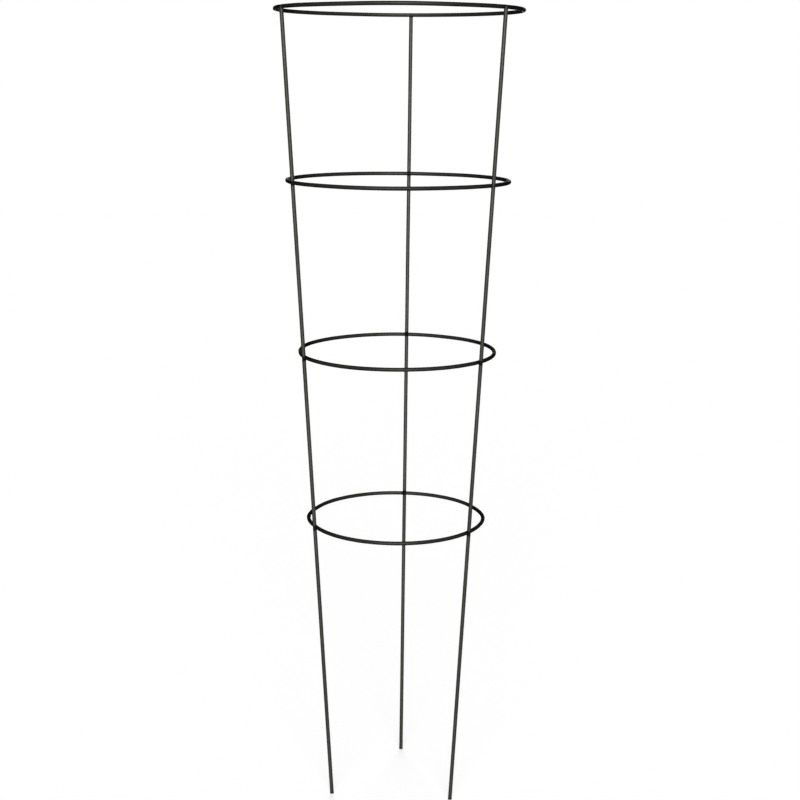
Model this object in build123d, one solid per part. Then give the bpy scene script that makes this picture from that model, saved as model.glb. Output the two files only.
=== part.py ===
from build123d import *
import os
from math import atan2, cos, degrees, hypot, radians, sin

# Tomato cage: four round wire hoops that get smaller towards the ground, held by three
# straight wire legs. The legs stand outside the hoops, lean in towards the ground and are
# spot welded to every hoop. Below the bottom hoop they run on as stakes.
#
# Millimetres. +Z is up and the origin is on the cage's axis, level with the legs' lower
# ends. The back leg stands on the +Y side, and +X is to the right, seen from the front.

# Wire
wire_d = 5.2

# Hoops, from the top: height of the wire's centre above the ground, and radius to the
# wire's centre
top_hoop_height = 1064.5
top_hoop_radius = 158.3
upper_middle_hoop_height = 849.0
upper_middle_hoop_radius = 144.6
lower_middle_hoop_height = 623.0
lower_middle_hoop_radius = 130.4
bottom_hoop_height = 391.5
bottom_hoop_radius = 117.6

# Legs: distance of the wire's centre from the axis at the top hoop and at the ground, and
# each leg's direction, in degrees clockwise from the back, seen from above
leg_radius_at_top_hoop = 161.7
leg_radius_at_ground = 97.2
leg_above_top_hoop = 1.0
back_leg_direction = 0.0
right_leg_direction = 121.4
left_leg_direction = 238.0

# Crossing welds: a lens of weld metal between a hoop and a leg
crossing_weld_r = 3.2
crossing_weld_half_thickness = 2.0

# Closing welds: a short thicker stretch between a hoop's two ends, and its direction,
# clockwise from the back
closing_weld_r = 3.0
closing_weld_length = 3.2
closing_weld_direction = 264.0

wire_r = wire_d / 2
leg_top_height = top_hoop_height + leg_above_top_hoop
leg_slope = (leg_radius_at_top_hoop - leg_radius_at_ground) / top_hoop_height

hoops = {
    "top": (top_hoop_height, top_hoop_radius),
    "upper_middle": (upper_middle_hoop_height, upper_middle_hoop_radius),
    "lower_middle": (lower_middle_hoop_height, lower_middle_hoop_radius),
    "bottom": (bottom_hoop_height, bottom_hoop_radius),
}
legs = {
    "back": back_leg_direction,
    "right": right_leg_direction,
    "left": left_leg_direction,
}


def outward(direction):
    """Unit vector from the axis towards a direction, clockwise from the back."""
    turn = radians(direction)
    return Vector(sin(turn), cos(turn), 0)


def sideways(direction):
    """Unit vector along the hoops, where they pass a leg in a direction from the axis."""
    turn = radians(direction)
    return Vector(cos(turn), -sin(turn), 0)


def leg_centre(direction, height):
    """Centre of a leg's wire at a height above the ground."""
    radius = leg_radius_at_ground + leg_slope * height
    return outward(direction) * radius + Vector(0, 0, height)


def crossing_weld(height, radius, direction):
    """Lens midway between a hoop's wire and a leg's wire, where they press together.

    It is what two equal balls share, and it is thinnest from wire to wire."""
    thin = crossing_weld_half_thickness
    ball_r = (crossing_weld_r**2 + thin**2) / (2 * thin)
    offset = ball_r - thin
    lens = Pos(0, 0, offset) * Sphere(ball_r) & Pos(0, 0, -offset) * Sphere(ball_r)
    hoop_wire = outward(direction) * radius + Vector(0, 0, height)
    middle = (hoop_wire + leg_centre(direction, height)) / 2
    across = outward(direction) - Vector(0, 0, leg_slope)
    return Plane(origin=middle, x_dir=sideways(direction), z_dir=across) * lens


def bent_wire(height, radius, section_r, start, turn):
    """Round bar bent about the axis, from a direction through a turn, clockwise.

    The section's circle starts on its inner side, so the seam of the bar's surface is clear
    of the legs."""
    section = Plane.XZ * Pos(radius, height) * Rot(0, 0, 180) * Circle(section_r)
    return Rot(0, 0, 90 - start) * revolve(section, Axis.Z, -turn)


def closing_weld_turn(radius):
    """Angle at the axis that a hoop's closing weld takes up."""
    return degrees(closing_weld_length / radius)


def closing_weld(height, radius):
    """Thicker stretch whose two ends are chamfered down to the wire's thickness."""
    turn = closing_weld_turn(radius)
    start = closing_weld_direction - turn / 2
    weld = bent_wire(height, radius, closing_weld_r, start, turn)
    rims = weld.edges().filter_by(GeomType.CIRCLE)
    rims = rims.filter_by(lambda edge: abs(edge.radius - closing_weld_r) < 0.01)
    return chamfer(rims, closing_weld_r - wire_r)


def hoop(height, radius, crossing_welds):
    """Hoop of wire, open at its closing weld and hollowed where the legs are welded on."""
    turn = closing_weld_turn(radius)
    start = closing_weld_direction + turn / 2
    wire = bent_wire(height, radius, wire_r, start, 360 - turn)
    for weld in crossing_welds:
        wire -= weld
    return wire


def leg(direction, welds):
    """Straight leaning wire, cut level at both ends and hollowed at its welds."""
    run = leg_centre(direction, leg_top_height) - leg_centre(direction, 0)
    middle = leg_centre(direction, leg_top_height / 2)
    place = Plane(origin=middle, x_dir=sideways(direction), z_dir=run)
    wire = place * Cylinder(wire_r, run.length + 4 * wire_r)
    room = 4 * leg_radius_at_top_hoop
    wire &= Pos(0, 0, leg_top_height / 2) * Box(room, room, leg_top_height)
    for weld in welds:
        wire -= weld
    return wire


os.makedirs("parts", exist_ok=True)

welds_at = {
    (hoop_name, leg_name): crossing_weld(height, radius, direction)
    for hoop_name, (height, radius) in hoops.items()
    for leg_name, direction in legs.items()
}

for hoop_name, (height, radius) in hoops.items():
    closing = closing_weld(height, radius)
    crossings = [welds_at[hoop_name, leg_name] for leg_name in legs]
    wire = hoop(height, radius, crossings)
    export_step(wire, f"parts/{hoop_name}_hoop.step")
    export_step(closing, f"parts/{hoop_name}_hoop_closing_weld.step")
    export_step(Compound(children=crossings), f"parts/{hoop_name}_hoop_leg_welds.step")

for leg_name, direction in legs.items():
    crossings = [welds_at[hoop_name, leg_name] for hoop_name in hoops]
    wire = leg(direction, crossings)
    export_step(wire, f"parts/{leg_name}_leg.step")

# What the wires make of the whole: its width over the legs, how far the legs lean, and
# how far apart the centres of a hoop's wire and a leg's wire lie where they are welded
print("width over the legs", round(2 * (leg_radius_at_top_hoop + wire_r), 1))
print("lean of the legs in degrees", round(degrees(atan2(leg_slope, 1)), 2))
print("length of a leg", round(hypot(1, leg_slope) * leg_top_height, 1))
for hoop_name, (height, radius) in hoops.items():
    apart = leg_radius_at_ground + leg_slope * height - radius
    print(hoop_name, "hoop to leg, centre to centre", round(apart, 2))
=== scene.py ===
import random
from math import cos, degrees, exp, hypot, pi, radians, sin, tau

import bmesh
import bpy
import numpy as np
from mathutils import Matrix, Vector, noise


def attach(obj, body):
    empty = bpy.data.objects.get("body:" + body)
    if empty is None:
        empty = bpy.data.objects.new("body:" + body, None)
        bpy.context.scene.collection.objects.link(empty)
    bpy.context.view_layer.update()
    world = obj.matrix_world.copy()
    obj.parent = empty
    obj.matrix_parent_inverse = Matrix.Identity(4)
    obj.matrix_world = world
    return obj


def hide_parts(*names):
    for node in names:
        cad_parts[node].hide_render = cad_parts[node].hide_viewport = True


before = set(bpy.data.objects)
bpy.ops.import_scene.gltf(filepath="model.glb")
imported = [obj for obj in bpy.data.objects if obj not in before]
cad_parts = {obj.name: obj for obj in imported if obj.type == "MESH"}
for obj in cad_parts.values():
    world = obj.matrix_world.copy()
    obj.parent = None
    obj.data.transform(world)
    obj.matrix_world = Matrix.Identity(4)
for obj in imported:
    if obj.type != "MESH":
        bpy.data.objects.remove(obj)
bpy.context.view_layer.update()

# Tomato cage: four wire hoops held by three leaning wire legs, spot welded where they
# cross, and each hoop closed by a butt weld. Metres, +Z up, the back leg on the +Y side.
# Directions are in degrees clockwise from the back, seen from above. Turns around a wire
# are in radians, from the side that faces away from the cage's axis.

MM = 0.001
WIRE_R = 2.6 * MM

# Hoops, from the top: height and radius of the wire's middle
HOOPS = {
    "top": (1064.5 * MM, 158.3 * MM),
    "upper_middle": (849.0 * MM, 144.6 * MM),
    "lower_middle": (623.0 * MM, 130.4 * MM),
    "bottom": (391.5 * MM, 117.6 * MM),
}

# Legs: direction of each, and how far from the axis the wire's middle is
LEGS = {"back": 0.0, "right": 121.4, "left": 238.0}
LEG_RADIUS_AT_TOP_HOOP = 161.7 * MM
LEG_RADIUS_AT_GROUND = 97.2 * MM
LEG_TOP = 1065.5 * MM
LEG_SLOPE = (LEG_RADIUS_AT_TOP_HOOP - LEG_RADIUS_AT_GROUND) / HOOPS["top"][0]
LEG_COS = 1 / hypot(1, LEG_SLOPE)

# Direction of the butt weld that closes each hoop
CLOSING_DIRECTION = 264.0

# How far each hoop is out of round at its right side and at its left side, where those
# are, and how wide the bulge is to each side
OUT_OF_ROUND = {
    "top": (0.0, 0.0),
    "upper_middle": (0.0, 0.0),
    "lower_middle": (-0.8 * MM, -1.1 * MM),
    "bottom": (1.5 * MM, 2.1 * MM),
}
RIGHT_SIDE = 84.3
LEFT_SIDE = 264.3
BULGE_TURN = 26

# How far a hoop waves up and down, how many bumps of that there are per radian around it,
# how fast they change with its height, and how far from a leg it waves in full
WAVE = 0.5 * MM
WAVE_BUMPS_AROUND = 1.6
WAVE_BUMPS_UP = 9
WAVE_TURN = 25

# A hoop's two ends: how far each stops short of the butt weld's middle, how far it is out
# of line there, and how far along the wire that fades
END_GAP = 0.6 * MM
END_SLIP = 0.12 * MM
END_SLIP_REACH = 9.0 * MM

# A leg's sheared end: how far above the cut, how thick there against the plain wire, how
# the burr makes that more or less around the wire, and how far up the wire is bare
END_RISE = np.array([0.0, 0.10, 0.30, 0.60, 1.0, 1.5, 2.1, 2.6]) * MM
END_SWELL = np.array([0.62, 0.90, 1.06, 1.13, 1.12, 1.07, 1.02, 1.0])
BURR_MEAN = 0.925
BURR_SPAN = 0.375
CUT_REACH = 5.5 * MM

# How far a leg bends to its sides, and how many bends there are per metre
LEG_BEND = 0.18 * MM
LEG_BENDS_ALONG = 6.0

# How uneven drawn wire is, and how many bumps there are per metre and per radian around it
RIPPLE = 0.03 * MM
RIPPLES_ALONG = 55
RIPPLES_AROUND = 0.8

# The flat that an electrode leaves on a wire at a weld: its depth and half its length
FLAT_DEPTH = 0.32 * MM
FLAT_REACH = 5.5 * MM

# How dark each crossing weld and closing weld left the wires, and how far along them
SCORCH = {
    "top": {"back": 0.35, "right": 0.30, "left": 0.55},
    "upper_middle": {"back": 0.60, "right": 0.45, "left": 0.90},
    "lower_middle": {"back": 0.85, "right": 1.00, "left": 1.00},
    "bottom": {"back": 0.85, "right": 1.00, "left": 1.00},
}
CLOSING_SCORCH = 0.7
SCORCH_REACH = 6.5 * MM

# Metal squeezed out at a crossing weld: how far it lies inside a wire elsewhere, how wide
# its fillets are, where its collar ends and how thick that is, how softly they run
# together, how far from the weld's middle the metal reaches towards each wire, and how
# far below a leg's top it ends
SUNK = 0.15 * MM
FILLET_WIDTH = 1.0 * MM
COLLAR_EDGE = 2.3 * MM
COLLAR_R = 0.5 * MM
COLLAR_MERGE = 0.5 * MM
METAL_DEPTH = 2.0 * MM
BELOW_LEG_TOP = 0.1 * MM

# Spatter beside a crossing weld: how many grains, how far along a wire, on which turns
# around a leg, its outer side, and around a hoop, its inner side, their radius, how
# lumpy they are, and how much of the radius each stands off the wire
GRAINS = (5, 8)
GRAIN_ALONG = (3.2 * MM, 8.5 * MM)
GRAIN_TURN_ON_LEG = (-2.2, 2.2)
GRAIN_TURN_ON_HOOP = (0.9, 5.3)
GRAIN_R = (0.14 * MM, 0.30 * MM)
GRAIN_LUMPS = 0.22
GRAIN_OFF = 0.1

# Butt weld: half its length, and where its two ridges are, how wide, how high and how
# ragged; how slanted the joint between them is; and how wide and high their shoulder is
BEAD_REACH = 4.6 * MM
RIDGE_AT = 0.75 * MM
RIDGE_WIDTH = 0.62 * MM
RIDGE_HEIGHT = 0.26 * MM
RIDGE_RAGGED = 0.20 * MM
JOINT_SLANT = 0.35 * MM
SHOULDER_WIDTH = 2.1 * MM
SHOULDER_HEIGHT = 0.21 * MM

# Points around a wire, and how far apart its rings are: within a reach of its welds and
# ends, and far from them
AROUND = 28
TURNS = np.arange(AROUND) * tau / AROUND
FINE_STEP = 0.45 * MM
FINE_REACH = 9.0 * MM
COARSE_STEP = 2.0 * MM
STEP_GROWTH = 0.35
BEAD_RINGS = 70


# Directions and places

def outward(direction):
    turn = radians(direction)
    return np.array([sin(turn), cos(turn), 0.0])


def sideways(direction):
    turn = radians(direction)
    return np.array([cos(turn), -sin(turn), 0.0])


def above(height):
    return np.array([0.0, 0.0, height])


def leg_point(direction, height):
    radius = LEG_RADIUS_AT_GROUND + LEG_SLOPE * height
    return outward(direction) * radius + above(height)


def hoop_point(hoop_name, direction):
    height, radius = HOOPS[hoop_name]
    return outward(direction) * radius + above(height)


def turned_away(direction, other):
    """Angle between two directions, 0 to 180."""
    return abs((direction - other + 180) % 360 - 180)


def smooth(x):
    x = np.clip(x, 0.0, 1.0)
    return x * x * (3 - 2 * x)


def soft_min(a, b, width):
    mix = np.clip(0.5 + 0.5 * (b - a) / width, 0, 1)
    return b * (1 - mix) + a * mix - width * mix * (1 - mix)


# Meshes

def make_object(name, points, faces, values=None):
    mesh = bpy.data.meshes.new(name)
    mesh.from_pydata([tuple(point) for point in points], [], faces)
    mesh.update()
    mesh.validate()
    for key, data in (values or {}).items():
        attribute = mesh.attributes.new(key, "FLOAT", "POINT")
        attribute.data.foreach_set("value", np.asarray(data, np.float32))
    for polygon in mesh.polygons:
        polygon.use_smooth = True
    piece = bpy.data.objects.new(name, mesh)
    bpy.context.scene.collection.objects.link(piece)
    return piece


def ring(middle, first, then, sizes):
    """Points around a wire. They start in the direction `first` and turn towards `then`."""
    spokes = np.outer(np.cos(TURNS), first) + np.outer(np.sin(TURNS), then)
    return middle + spokes * np.asarray(sizes)[:, None]


def tube(rings):
    """Faces of a closed tube: rings of AROUND points one after another, then the middle of
    the first ring and of the last. They face outwards where the rings are numbered
    clockwise, looking along the tube."""
    faces = []
    for k in range(rings - 1):
        for j in range(AROUND):
            a = k * AROUND + j
            b = k * AROUND + (j + 1) % AROUND
            faces.append((b, a, a + AROUND, b + AROUND))
    first, last = rings * AROUND, rings * AROUND + 1
    base = (rings - 1) * AROUND
    for j in range(AROUND):
        faces.append((first, j, (j + 1) % AROUND))
        faces.append((last, base + (j + 1) % AROUND, base + j))
    return faces


def stations(length, close_places):
    """Places along a wire, close together near its welds and ends."""
    places = [0.0]
    while places[-1] < length:
        here = places[-1]
        near = min(abs(here + FINE_STEP - place) for place in close_places)
        grown = FINE_STEP + (near - FINE_REACH) * STEP_GROWTH
        step = FINE_STEP if near < FINE_REACH else min(COARSE_STEP, grown)
        places.append(here + step)
    scale = length / places[-1]
    return np.array(places) * scale


def pressed(radii, towards, distance):
    """Radii around a wire with an electrode's flat on one side, at a distance along the
    wire from the flat's middle."""
    depth = FLAT_DEPTH * smooth(1 - abs(distance) / FLAT_REACH)
    facing = np.cos(TURNS - towards)
    grazing = 0.05
    flat = (radii - depth) / np.maximum(facing, grazing)
    return np.where(facing > grazing, np.minimum(radii, flat), radii)


def ripple(turn, shift, place):
    """The drawn wire's faint unevenness, always inwards."""
    x, y = cos(turn) * RIPPLES_AROUND, sin(turn) * RIPPLES_AROUND
    return (noise.noise(Vector((x, y + shift, place * RIPPLES_ALONG))) - 1) * RIPPLE


def scorch_at(along, marks):
    """How strongly the welds scorched each place along a wire."""
    darkest = np.zeros(len(along))
    for place, strength in marks:
        mark = strength * smooth(1 - np.abs(along - place) / SCORCH_REACH)
        darkest = np.maximum(darkest, mark)
    return darkest


def wire_piece(name, places, rings, ends, cuts, marks):
    """A wire from its rings and the middles of its two ends. Each point keeps what the
    material reads: where it is along the wire and around it, how bare the wire is there,
    and how scorched, from the weld marks' places and strengths."""
    count = len(rings)
    ring_of = np.append(np.repeat(np.arange(count), AROUND), [0, count - 1])
    along = places[ring_of]
    values = {
        "wire_along": along,
        "wire_x": np.append(np.tile(np.cos(TURNS), count), [0.0, 0.0]),
        "wire_y": np.append(np.tile(np.sin(TURNS), count), [0.0, 0.0]),
        "wire_cut": cuts[ring_of],
        "weld_scorch": scorch_at(along, marks),
    }
    return make_object(name, np.concatenate([*rings, ends]), tube(count), values)


# Legs

def leg_sections():
    """Heights of a leg's rings and how thick the wire is there, ends included. The lower
    end has a burr and the upper end none."""
    weld_heights = [height for height, _ in HOOPS.values()]
    heights = stations(LEG_TOP, weld_heights + [0.0, LEG_TOP])
    heights = heights[(heights > END_RISE[-1]) & (heights < LEG_TOP - END_RISE[-1])]
    plain = np.ones(len(heights))
    heights = np.concatenate([END_RISE[:-1], heights, LEG_TOP - END_RISE[:-1][::-1]])
    top_swell = np.minimum(END_SWELL, 1.0)[:-1][::-1]
    return heights, np.concatenate([END_SWELL[:-1], plain, top_swell])


def leg(name):
    """Straight wire sheared level at both ends, with the electrode's flat on its outer
    side at each weld."""
    draw = random.Random(f"leg {name}")
    direction = LEGS[name]
    out, side = outward(direction), sideways(direction)
    heights, swells = leg_sections()
    lobe = np.sin(TURNS + draw.uniform(0, tau))
    burr = BURR_MEAN + BURR_SPAN * lobe * np.cos(3 * TURNS + draw.uniform(0, tau))
    bend_shift = draw.uniform(0, 50)
    rings = []
    for height, swell in zip(heights, swells):
        where = Vector((height * LEG_BENDS_ALONG, bend_shift, 0.0))
        bend = noise.noise(where) * LEG_BEND
        middle = leg_point(direction, height) + side * bend
        if swell > 1:
            radii = WIRE_R * (1 + (swell - 1) * burr)
        else:
            radii = np.full(AROUND, WIRE_R * swell)
        for weld_height, _ in HOOPS.values():
            radii = pressed(radii, 0.0, height - weld_height)
        sizes = [radius + ripple(turn, 0.0, height) for turn, radius in zip(TURNS, radii)]
        rings.append(ring(middle, out / LEG_COS, side, sizes))
    ends = [leg_point(direction, height) for height in (0.0, LEG_TOP)]
    cuts = smooth(1 - np.minimum(heights, LEG_TOP - heights) / CUT_REACH)
    marks = [(height, SCORCH[hoop_name][name]) for hoop_name, (height, _) in HOOPS.items()]
    return wire_piece(f"{name}_leg_wire", heights, rings, ends, cuts, marks)


# Hoops

def hoop_middle(name, direction, slip=0.0):
    """Middle of a hoop's wire: not quite round and not quite flat, but level where the legs
    are welded on. `slip` is how far it is out of line."""
    height, radius = HOOPS[name]
    right, left = OUT_OF_ROUND[name]
    bulge = slip
    for at, amount in ((RIGHT_SIDE, right), (LEFT_SIDE, left)):
        bulge += amount * smooth(1 - turned_away(direction, at) / BULGE_TURN)
    free = min(smooth(turned_away(direction, at) / WAVE_TURN) for at in LEGS.values())
    x, y = cos(radians(direction)), sin(radians(direction))
    around = Vector((x, y, 0)) * WAVE_BUMPS_AROUND
    wave = noise.noise(around + Vector((0, 0, height * WAVE_BUMPS_UP)))
    return outward(direction) * (radius + bulge) + above(height + wave * WAVE * free)


def hoop(name):
    """Wire bent to a ring, with the electrodes' flats on its inner side."""
    height, radius = HOOPS[name]
    length = tau * radius
    weld_places = [(at - CLOSING_DIRECTION) % 360 / 360 * length for at in LEGS.values()]
    places = stations(length - 2 * END_GAP, weld_places + [0.0, length]) + END_GAP
    directions = CLOSING_DIRECTION + 360 * places / length
    own_ripple = height * 7
    rings = []
    for place, direction in zip(places, directions):
        before = exp(-place / END_SLIP_REACH)
        after = exp(-(length - place) / END_SLIP_REACH)
        middle = hoop_middle(name, direction, END_SLIP * (before - after))
        radii = np.full(AROUND, WIRE_R)
        for weld_place in weld_places:
            radii = pressed(radii, pi, place - weld_place)
        sizes = [size + ripple(turn, own_ripple, place) for turn, size in zip(TURNS, radii)]
        rings.append(ring(middle, outward(direction), above(-1.0), sizes))
    ends = [hoop_middle(name, direction) for direction in (directions[0], directions[-1])]
    marks = [(place, SCORCH[name][leg_name]) for place, leg_name in zip(weld_places, LEGS)]
    marks += [(0.0, CLOSING_SCORCH), (length, CLOSING_SCORCH)]
    bare_nowhere = np.zeros(len(places))
    return wire_piece(f"{name}_hoop_wire", places, rings, ends, bare_nowhere, marks)


# Welds

def ball(level):
    """Points of a round ball of radius 1, and its faces."""
    mesh = bmesh.new()
    bmesh.ops.create_icosphere(mesh, subdivisions=level, radius=1.0)
    points = [vertex.co.copy() for vertex in mesh.verts]
    faces = [tuple(vertex.index for vertex in face.verts) for face in mesh.faces]
    mesh.free()
    return points, faces


def lumps_on(points, scale, shift):
    """Smooth unevenness, -1 to 1, at points of a ball."""
    return np.array([noise.noise(point * scale + Vector(shift)) for point in points])


def squeezed_metal(hoop_name, leg_name, shift):
    """Metal squeezed out between a hoop and a leg: fillets in the corners between the two
    wires, with an uneven collar around the place where they meet."""
    height, radius = HOOPS[hoop_name]
    direction = LEGS[leg_name]
    leg_at = leg_point(direction, height)
    middle = (hoop_point(hoop_name, direction) + leg_at) / 2
    leg_run = (outward(direction) * LEG_SLOPE + above(1.0)) * LEG_COS
    across = (outward(direction) - above(LEG_SLOPE)) * LEG_COS
    rays, faces = ball(5)
    lumps = lumps_on(rays, scale=1.7, shift=(shift, 0, 0))
    small_lumps = lumps_on(rays, scale=5.0, shift=(0, shift, 0))
    rays = np.array(rays)
    fillet_width = FILLET_WIDTH * (1 + 0.5 * lumps)
    collar_edge = COLLAR_EDGE * (1 + 0.16 * lumps)
    collar_r = COLLAR_R * (1 + 0.4 * lumps + 0.15 * small_lumps)
    # Halve the stretch of each ray that holds the metal's surface, again and again
    longest, halvings = 5.0 * MM, 26
    low, high = np.zeros(len(rays)), np.full(len(rays), longest)
    for _ in range(halvings):
        reach = (low + high) / 2
        spots = middle + rays * reach[:, None]
        from_axis = np.hypot(spots[:, 0], spots[:, 1])
        to_hoop = np.hypot(from_axis - radius, spots[:, 2] - height) - WIRE_R
        from_leg = spots - leg_at
        from_leg -= np.outer(from_leg @ leg_run, leg_run)
        to_leg = np.linalg.norm(from_leg, axis=1) - WIRE_R
        to_leg = np.maximum(to_leg, spots[:, 2] - (LEG_TOP - BELOW_LEG_TOP))
        fillet = soft_min(to_hoop, to_leg, fillet_width) + SUNK
        offset = spots - middle
        depth = offset @ across
        spread = np.linalg.norm(offset - np.outer(depth, across), axis=1)
        collar = np.hypot(np.maximum(spread - collar_edge, 0), depth) - collar_r
        metal = soft_min(fillet, collar, COLLAR_MERGE)
        inside = np.maximum(metal, np.abs(depth) - METAL_DEPTH) < 0
        low = np.where(inside, reach, low)
        high = np.where(inside, high, reach)
    return middle + rays * low[:, None], faces


def spatter(hoop_name, leg_name, draw):
    """Grains of metal thrown on the two wires beside a weld."""
    height, radius = HOOPS[hoop_name]
    direction = LEGS[leg_name]
    rays, faces = ball(2)
    for _ in range(draw.randint(*GRAINS)):
        on_leg = draw.random() < 0.5
        along = draw.choice((-1, 1)) * draw.uniform(*GRAIN_ALONG)
        turn = draw.uniform(*(GRAIN_TURN_ON_LEG if on_leg else GRAIN_TURN_ON_HOOP))
        size = draw.uniform(*GRAIN_R)
        if on_leg and height + along < LEG_TOP:
            spot = leg_point(direction, height + along)
            normal = outward(direction) * cos(turn) + sideways(direction) * sin(turn)
        else:
            turned = direction + degrees(along / radius)
            spot = hoop_point(hoop_name, turned)
            normal = outward(turned) * cos(turn) + above(sin(turn))
        seat = spot + normal * (WIRE_R + size * GRAIN_OFF)
        lumps = lumps_on(rays, scale=2.1, shift=(draw.uniform(0, 50), 0, 0))
        sizes = size * (1 + GRAIN_LUMPS * lumps)
        yield seat + np.array(rays) * sizes[:, None], faces


def crossing_metal(hoop_name):
    """Squeezed-out metal and spatter of a hoop's three crossing welds."""
    points, faces = [], []
    for leg_name in LEGS:
        draw = random.Random(f"weld {hoop_name} {leg_name}")
        solids = [squeezed_metal(hoop_name, leg_name, draw.uniform(0, 50))]
        solids += spatter(hoop_name, leg_name, draw)
        for solid_points, solid_faces in solids:
            base = len(points)
            points += list(solid_points)
            faces += [tuple(index + base for index in face) for face in solid_faces]
    return make_object(f"{hoop_name}_hoop_weld_flash", points, faces)


def butt_weld(name):
    """Upset collar where the ends of a hoop are butt welded: two ragged ridges of
    squeezed-out metal with the line of the joint between them."""
    _, radius = HOOPS[name]
    shift = random.Random(f"bead {name}").uniform(0, 50)
    places = np.linspace(-BEAD_REACH, BEAD_REACH, BEAD_RINGS)
    directions = CLOSING_DIRECTION + np.degrees(places / radius)
    rings = []
    for place, direction in zip(places, directions):
        sizes = []
        for turn in TURNS:
            x, y = cos(turn), sin(turn)
            ragged = noise.noise(Vector((x * 1.3 + shift, y * 1.3, place * 300)))
            slanted = noise.noise(Vector((x * 2.0, y * 2.0 + shift, 0)))
            from_joint = abs(place - JOINT_SLANT * slanted)
            ridge = exp(-((from_joint - RIDGE_AT) / RIDGE_WIDTH) ** 2)
            ridge *= RIDGE_HEIGHT + RIDGE_RAGGED * ragged
            shoulder = SHOULDER_HEIGHT * exp(-(from_joint / SHOULDER_WIDTH) ** 2)
            sizes.append(WIRE_R - SUNK + ridge + shoulder)
        middle = hoop_middle(name, direction)
        rings.append(ring(middle, outward(direction), above(-1.0), sizes))
    ends = [hoop_middle(name, direction) for direction in (directions[0], directions[-1])]
    points = np.concatenate([*rings, ends])
    return make_object(f"{name}_hoop_butt_weld", points, tube(len(rings)))


# Materials

class Nodes:
    """Short ways to add shader nodes to a material."""

    def __init__(self, name):
        self.material = bpy.data.materials.new(name)
        self.material.use_nodes = True
        self.tree = self.material.node_tree
        self.shader = self.tree.nodes["Principled BSDF"]

    def add(self, kind, **settings):
        node = self.tree.nodes.new(kind)
        for key, value in settings.items():
            setattr(node, key, value)
        return node

    def link(self, source, target):
        if isinstance(source, (int, float, tuple)):
            target.default_value = source
        else:
            self.tree.links.new(source, target)

    def value(self, name):
        return self.add("ShaderNodeAttribute", attribute_name=name).outputs["Fac"]

    def position(self):
        return self.add("ShaderNodeTexCoord").outputs["Object"]

    def vector(self, x, y, z):
        node = self.add("ShaderNodeCombineXYZ")
        for source, socket in zip((x, y, z), node.inputs):
            self.link(source, socket)
        return node.outputs[0]

    def math(self, kind, a, b):
        node = self.add("ShaderNodeMath", operation=kind)
        self.link(a, node.inputs[0])
        self.link(b, node.inputs[1])
        return node.outputs[0]

    def noise(self, where, scale, detail=3.0, rough=0.5):
        node = self.add("ShaderNodeTexNoise")
        self.link(where, node.inputs["Vector"])
        node.inputs["Scale"].default_value = scale
        node.inputs["Detail"].default_value = detail
        node.inputs["Roughness"].default_value = rough
        return node.outputs["Fac"]

    def cells(self, where, scale):
        """A random grey for each crystal-like cell."""
        node = self.add("ShaderNodeTexVoronoi")
        self.link(where, node.inputs["Vector"])
        node.inputs["Scale"].default_value = scale
        grey = self.add("ShaderNodeRGBToBW")
        self.link(node.outputs["Color"], grey.inputs[0])
        return grey.outputs[0]

    def ramp(self, factor, *stops):
        """Colours or greys between stops of a place and a colour or grey."""
        node = self.add("ShaderNodeValToRGB")
        node.color_ramp.elements[0].position = stops[0][0]
        node.color_ramp.elements[1].position = stops[-1][0]
        for place, _ in stops[1:-1]:
            node.color_ramp.elements.new(place)
        for element, (_, colour) in zip(node.color_ramp.elements, stops):
            if isinstance(colour, (int, float)):
                colour = (colour, colour, colour)
            element.color = (*colour, 1)
        self.link(factor, node.inputs[0])
        return node.outputs[0]

    def mix(self, factor, a, b, blend="MIX"):
        node = self.add("ShaderNodeMix", data_type="RGBA", blend_type=blend)
        self.link(factor, node.inputs[0])
        for source, socket in ((a, node.inputs[6]), (b, node.inputs[7])):
            if isinstance(source, tuple):
                source = (*source, 1)
            self.link(source, socket)
        return node.outputs[2]

    def bump(self, height, strength, distance):
        node = self.add("ShaderNodeBump")
        node.inputs["Strength"].default_value = strength
        node.inputs["Distance"].default_value = distance
        self.link(height, node.inputs["Height"])
        self.link(node.outputs[0], self.shader.inputs["Normal"])

    def dull_metal(self, metallic):
        """Metal that gets darker, not brighter, where it is seen at a slant."""
        self.shader.inputs["Metallic"].default_value = metallic
        self.shader.inputs["Specular IOR Level"].default_value = 0.0
        self.shader.inputs["Specular Tint"].default_value = (0, 0, 0, 1)


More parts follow.
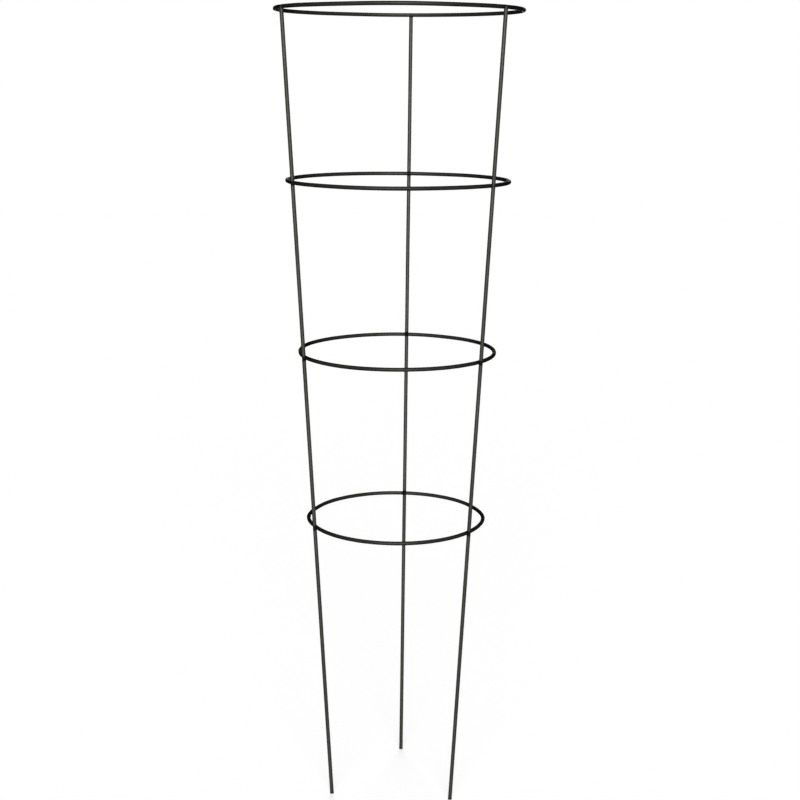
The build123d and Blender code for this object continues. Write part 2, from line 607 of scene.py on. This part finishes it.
def wire_material(name, level):
    """Weathered galvanised wire at a level of brightness: zinc greys in long drawn streaks
    and small patches, a faint olive cast, scorched near the welds and bare at the sheared
    ends."""
    n = Nodes(name)
    along, scorch, cut = n.value("wire_along"), n.value("weld_scorch"), n.value("wire_cut")
    around_x, around_y = n.value("wire_x"), n.value("wire_y")
    place = n.position()

    def tone(red, green, blue):
        return (red * level, green * level, blue * level)

    def drawn(around_scale, along_scale, detail, rough):
        """Noise in streaks along the wire."""
        where = n.vector(
            n.math("MULTIPLY", around_x, around_scale),
            n.math("MULTIPLY", around_y, around_scale),
            n.math("MULTIPLY", along, along_scale),
        )
        return n.noise(where, 1.0, detail, rough)

    streaks = drawn(around_scale=1.6, along_scale=14.0, detail=4.0, rough=0.6)
    hairs = drawn(around_scale=9.0, along_scale=60.0, detail=3.0, rough=0.65)
    patches = n.noise(place, scale=42.0, detail=5.0, rough=0.6)

    # Zinc: streaks, olive patches, crystals, then light and dark hairs
    zinc = n.ramp(
        streaks,
        (0.30, tone(0.66, 0.67, 0.61)),
        (0.50, tone(1.0, 1.0, 0.91)),
        (0.72, tone(1.42, 1.43, 1.34)),
    )
    zinc = n.mix(n.ramp(patches, (0.46, 0.0), (0.66, 0.55)), zinc, tone(0.93, 0.91, 0.70))
    zinc = n.mix(0.16, zinc, n.cells(place, scale=950.0), "OVERLAY")
    zinc = n.mix(n.ramp(hairs, (0.62, 0.0), (0.74, 0.45)), zinc, tone(1.95, 1.95, 1.85))
    zinc = n.mix(n.ramp(hairs, (0.26, 0.5), (0.36, 0.0)), zinc, tone(0.34, 0.33, 0.31))

    # Scorch: a ragged halo, from pale at its rim to brown-black
    speckle = n.math("SUBTRACT", n.noise(place, scale=420.0, detail=4.0), 0.5)
    ragged = n.math("ADD", scorch, n.math("MULTIPLY", speckle, 0.55))
    halo = n.ramp(ragged, (0.15, 0.0), (0.30, 0.4), (0.50, 0.85), (0.7, 1.0))
    burnt = n.ramp(
        ragged,
        (0.20, tone(1.2, 1.18, 1.08)),
        (0.34, tone(0.80, 0.74, 0.64)),
        (0.50, tone(0.46, 0.40, 0.33)),
        (0.75, tone(0.20, 0.17, 0.15)),
    )
    colour = n.mix(halo, zinc, burnt)

    # Bare steel at the sheared ends, with some rust
    rust = n.noise(place, scale=900.0, detail=3.0)
    bare = n.mix(rust, tone(0.18, 0.16, 0.14), tone(0.70, 0.58, 0.48))
    colour = n.mix(n.math("MULTIPLY", cut, 0.85), colour, bare)
    n.link(colour, n.shader.inputs["Base Color"])

    worn = n.math("ADD", n.math("MULTIPLY", streaks, 0.5), n.math("MULTIPLY", hairs, 0.5))
    scorched_rough = (0.62, 0.62, 0.62)
    rough = n.mix(halo, n.ramp(worn, (0.3, 0.38), (0.7, 0.54)), scorched_rough)
    n.link(rough, n.shader.inputs["Roughness"])
    n.dull_metal(1.0)
    pits = n.math("MULTIPLY", n.noise(place, scale=1500.0, detail=2.0), 0.4)
    relief = n.math("ADD", n.math("MULTIPLY", hairs, 0.6), pits)
    n.bump(relief, strength=0.35, distance=0.06 * MM)
    return n.material


def weld_material():
    """Scorched weld metal: brown-black scale, with bare and rusty specks."""
    n = Nodes("scorched_weld")
    place = n.position()
    scale = n.noise(place, scale=520.0, detail=5.0, rough=0.6)
    specks = n.noise(place, scale=1700.0, detail=3.0, rough=0.6)
    colour = n.ramp(
        scale,
        (0.30, (0.007, 0.006, 0.006)),
        (0.52, (0.012, 0.011, 0.010)),
        (0.72, (0.022, 0.019, 0.017)),
    )
    rusty, bare = (0.032, 0.019, 0.012), (0.034, 0.034, 0.032)
    colour = n.mix(n.ramp(specks, (0.60, 0.0), (0.70, 0.5)), colour, rusty)
    colour = n.mix(n.ramp(specks, (0.24, 0.4), (0.34, 0.0)), colour, bare)
    n.link(colour, n.shader.inputs["Base Color"])
    n.link(n.ramp(specks, (0.3, 0.55), (0.7, 0.85)), n.shader.inputs["Roughness"])
    n.dull_metal(0.4)
    relief = n.math("ADD", scale, n.math("MULTIPLY", specks, 0.5))
    n.bump(relief, strength=0.5, distance=0.15 * MM)
    return n.material


# The pieces

# Brightness of the wire's colour on the legs and on the hoops. The hoops are the same wire
# as the legs, and their darker colour is painted shade.
LEG_BRIGHTNESS = 0.046
HOOP_BRIGHTNESS_WITH_PAINTED_SHADE = 0.026


def dress(piece, material, node):
    """Give a piece its material, and let it stand for a node of the frame."""
    piece.data.materials.append(material)
    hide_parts(node)
    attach(piece, "root")


leg_zinc = wire_material("galvanised_leg_wire", LEG_BRIGHTNESS)
# The hoops' copy of the wire is set darker than the legs' copy, as painted shade.
hoop_zinc_with_painted_shade = wire_material("galvanised_hoop_wire_with_painted_shade", HOOP_BRIGHTNESS_WITH_PAINTED_SHADE)
scale_black = weld_material()
for leg_name in LEGS:
    dress(leg(leg_name), leg_zinc, f"{leg_name}_leg")
for hoop_name in HOOPS:
    dress(hoop(hoop_name), hoop_zinc_with_painted_shade, f"{hoop_name}_hoop")
    dress(crossing_metal(hoop_name), scale_black, f"{hoop_name}_hoop_leg_welds")
    dress(butt_weld(hoop_name), scale_black, f"{hoop_name}_hoop_closing_weld")


# Camera

CAMERA_FROM_AXIS = 1.9086
CAMERA_HEIGHT = 0.9768
CAMERA_DIRECTION = 174.28
CAMERA_PITCH = -12.447
CAMERA_YAW = -0.130
CAMERA_ROLL = 0.417
FOCAL_PIXELS = 1449.1
IMAGE_PIXELS = 800
SENSOR_WIDTH = 36.0

camera_data = bpy.data.cameras.new("camera")
camera_data.sensor_width = SENSOR_WIDTH
camera_data.lens = FOCAL_PIXELS * SENSOR_WIDTH / IMAGE_PIXELS
camera_data.clip_start = 0.05
camera_data.clip_end = 60
camera = bpy.data.objects.new("camera", camera_data)
bpy.context.scene.collection.objects.link(camera)
bpy.context.scene.camera = camera
towards = CAMERA_DIRECTION + 180 - CAMERA_YAW
turned = (
    Matrix.Rotation(radians(-towards), 4, "Z")
    @ Matrix.Rotation(radians(90 + CAMERA_PITCH), 4, "X")
    @ Matrix.Rotation(radians(CAMERA_ROLL), 4, "Z")
)
camera_at = outward(CAMERA_DIRECTION) * CAMERA_FROM_AXIS + above(CAMERA_HEIGHT)
camera.matrix_world = Matrix.Translation(Vector(camera_at)) @ turned


# Floor and background

WHITE = (1, 1, 1, 1)
FLOOR_R = 9.0
FLOOR_SIDES = 96
FLOOR_COLOUR = (0.80, 0.80, 0.80, 1)
FLOOR_ROUGH = 0.9
FLOOR_GLOW = 0.565
SKY_LIGHT = 0.12


def background_strength(tree, seen, unseen):
    """A strength that is `seen` to the camera and in reflections, and `unseen` to light."""
    rays = tree.nodes.new("ShaderNodeLightPath")
    total = rays.outputs["Is Camera Ray"]
    for name in ("Is Glossy Ray", "Is Transmission Ray"):
        add = tree.nodes.new("ShaderNodeMath")
        add.operation = "ADD"
        add.use_clamp = True
        tree.links.new(total, add.inputs[0])
        tree.links.new(rays.outputs[name], add.inputs[1])
        total = add.outputs[0]
    spread = tree.nodes.new("ShaderNodeMapRange")
    spread.inputs["To Min"].default_value = unseen
    spread.inputs["To Max"].default_value = seen
    tree.links.new(total, spread.inputs["Value"])
    return spread.outputs["Result"]


rim = np.arange(FLOOR_SIDES) * tau / FLOOR_SIDES
floor_points = [(FLOOR_R * cos(turn), FLOOR_R * sin(turn), 0.0) for turn in rim]
floor = make_object("floor", floor_points, [tuple(range(FLOOR_SIDES))])
pale = Nodes("pale_floor")
pale.shader.inputs["Base Color"].default_value = FLOOR_COLOUR
pale.shader.inputs["Roughness"].default_value = FLOOR_ROUGH
pale.shader.inputs["Specular IOR Level"].default_value = 0.0
pale.shader.inputs["Emission Color"].default_value = WHITE
glow = background_strength(pale.tree, seen=FLOOR_GLOW, unseen=0.0)
pale.link(glow, pale.shader.inputs["Emission Strength"])
floor.data.materials.append(pale.material)

world = bpy.data.worlds.new("studio")
world.use_nodes = True
bpy.context.scene.world = world
background = world.node_tree.nodes["Background"]
background.inputs["Color"].default_value = WHITE
sky = background_strength(world.node_tree, seen=1.0, unseen=SKY_LIGHT)
world.node_tree.links.new(sky, background.inputs["Strength"])


# Light

LIGHT_ELEVATION = 14.0
LIGHT_SOFTNESS = 40.0
LAMP_DISTANCE = 3.0
FRONT_STRENGTH = 0.92 * pi
BACK_STRENGTH = 0.80 * pi


def soft_light(name, direction, strength):
    """Even light from one side, as soft as from a large window."""
    data = bpy.data.lights.new(name, "SUN")
    data.angle = radians(LIGHT_SOFTNESS)
    data.energy = strength
    lamp = bpy.data.objects.new(name, data)
    bpy.context.scene.collection.objects.link(lamp)
    lift = radians(LIGHT_ELEVATION)
    at = Vector(outward(direction) * cos(lift) + above(sin(lift)))
    aim = (-at).to_track_quat("-Z", "Y").to_matrix().to_4x4()
    lamp.matrix_world = Matrix.Translation(at * LAMP_DISTANCE) @ aim


soft_light("front_light", CAMERA_DIRECTION, FRONT_STRENGTH)
soft_light("back_light", CAMERA_DIRECTION + 180, BACK_STRENGTH)

bpy.context.scene.view_settings.view_transform = "Standard"
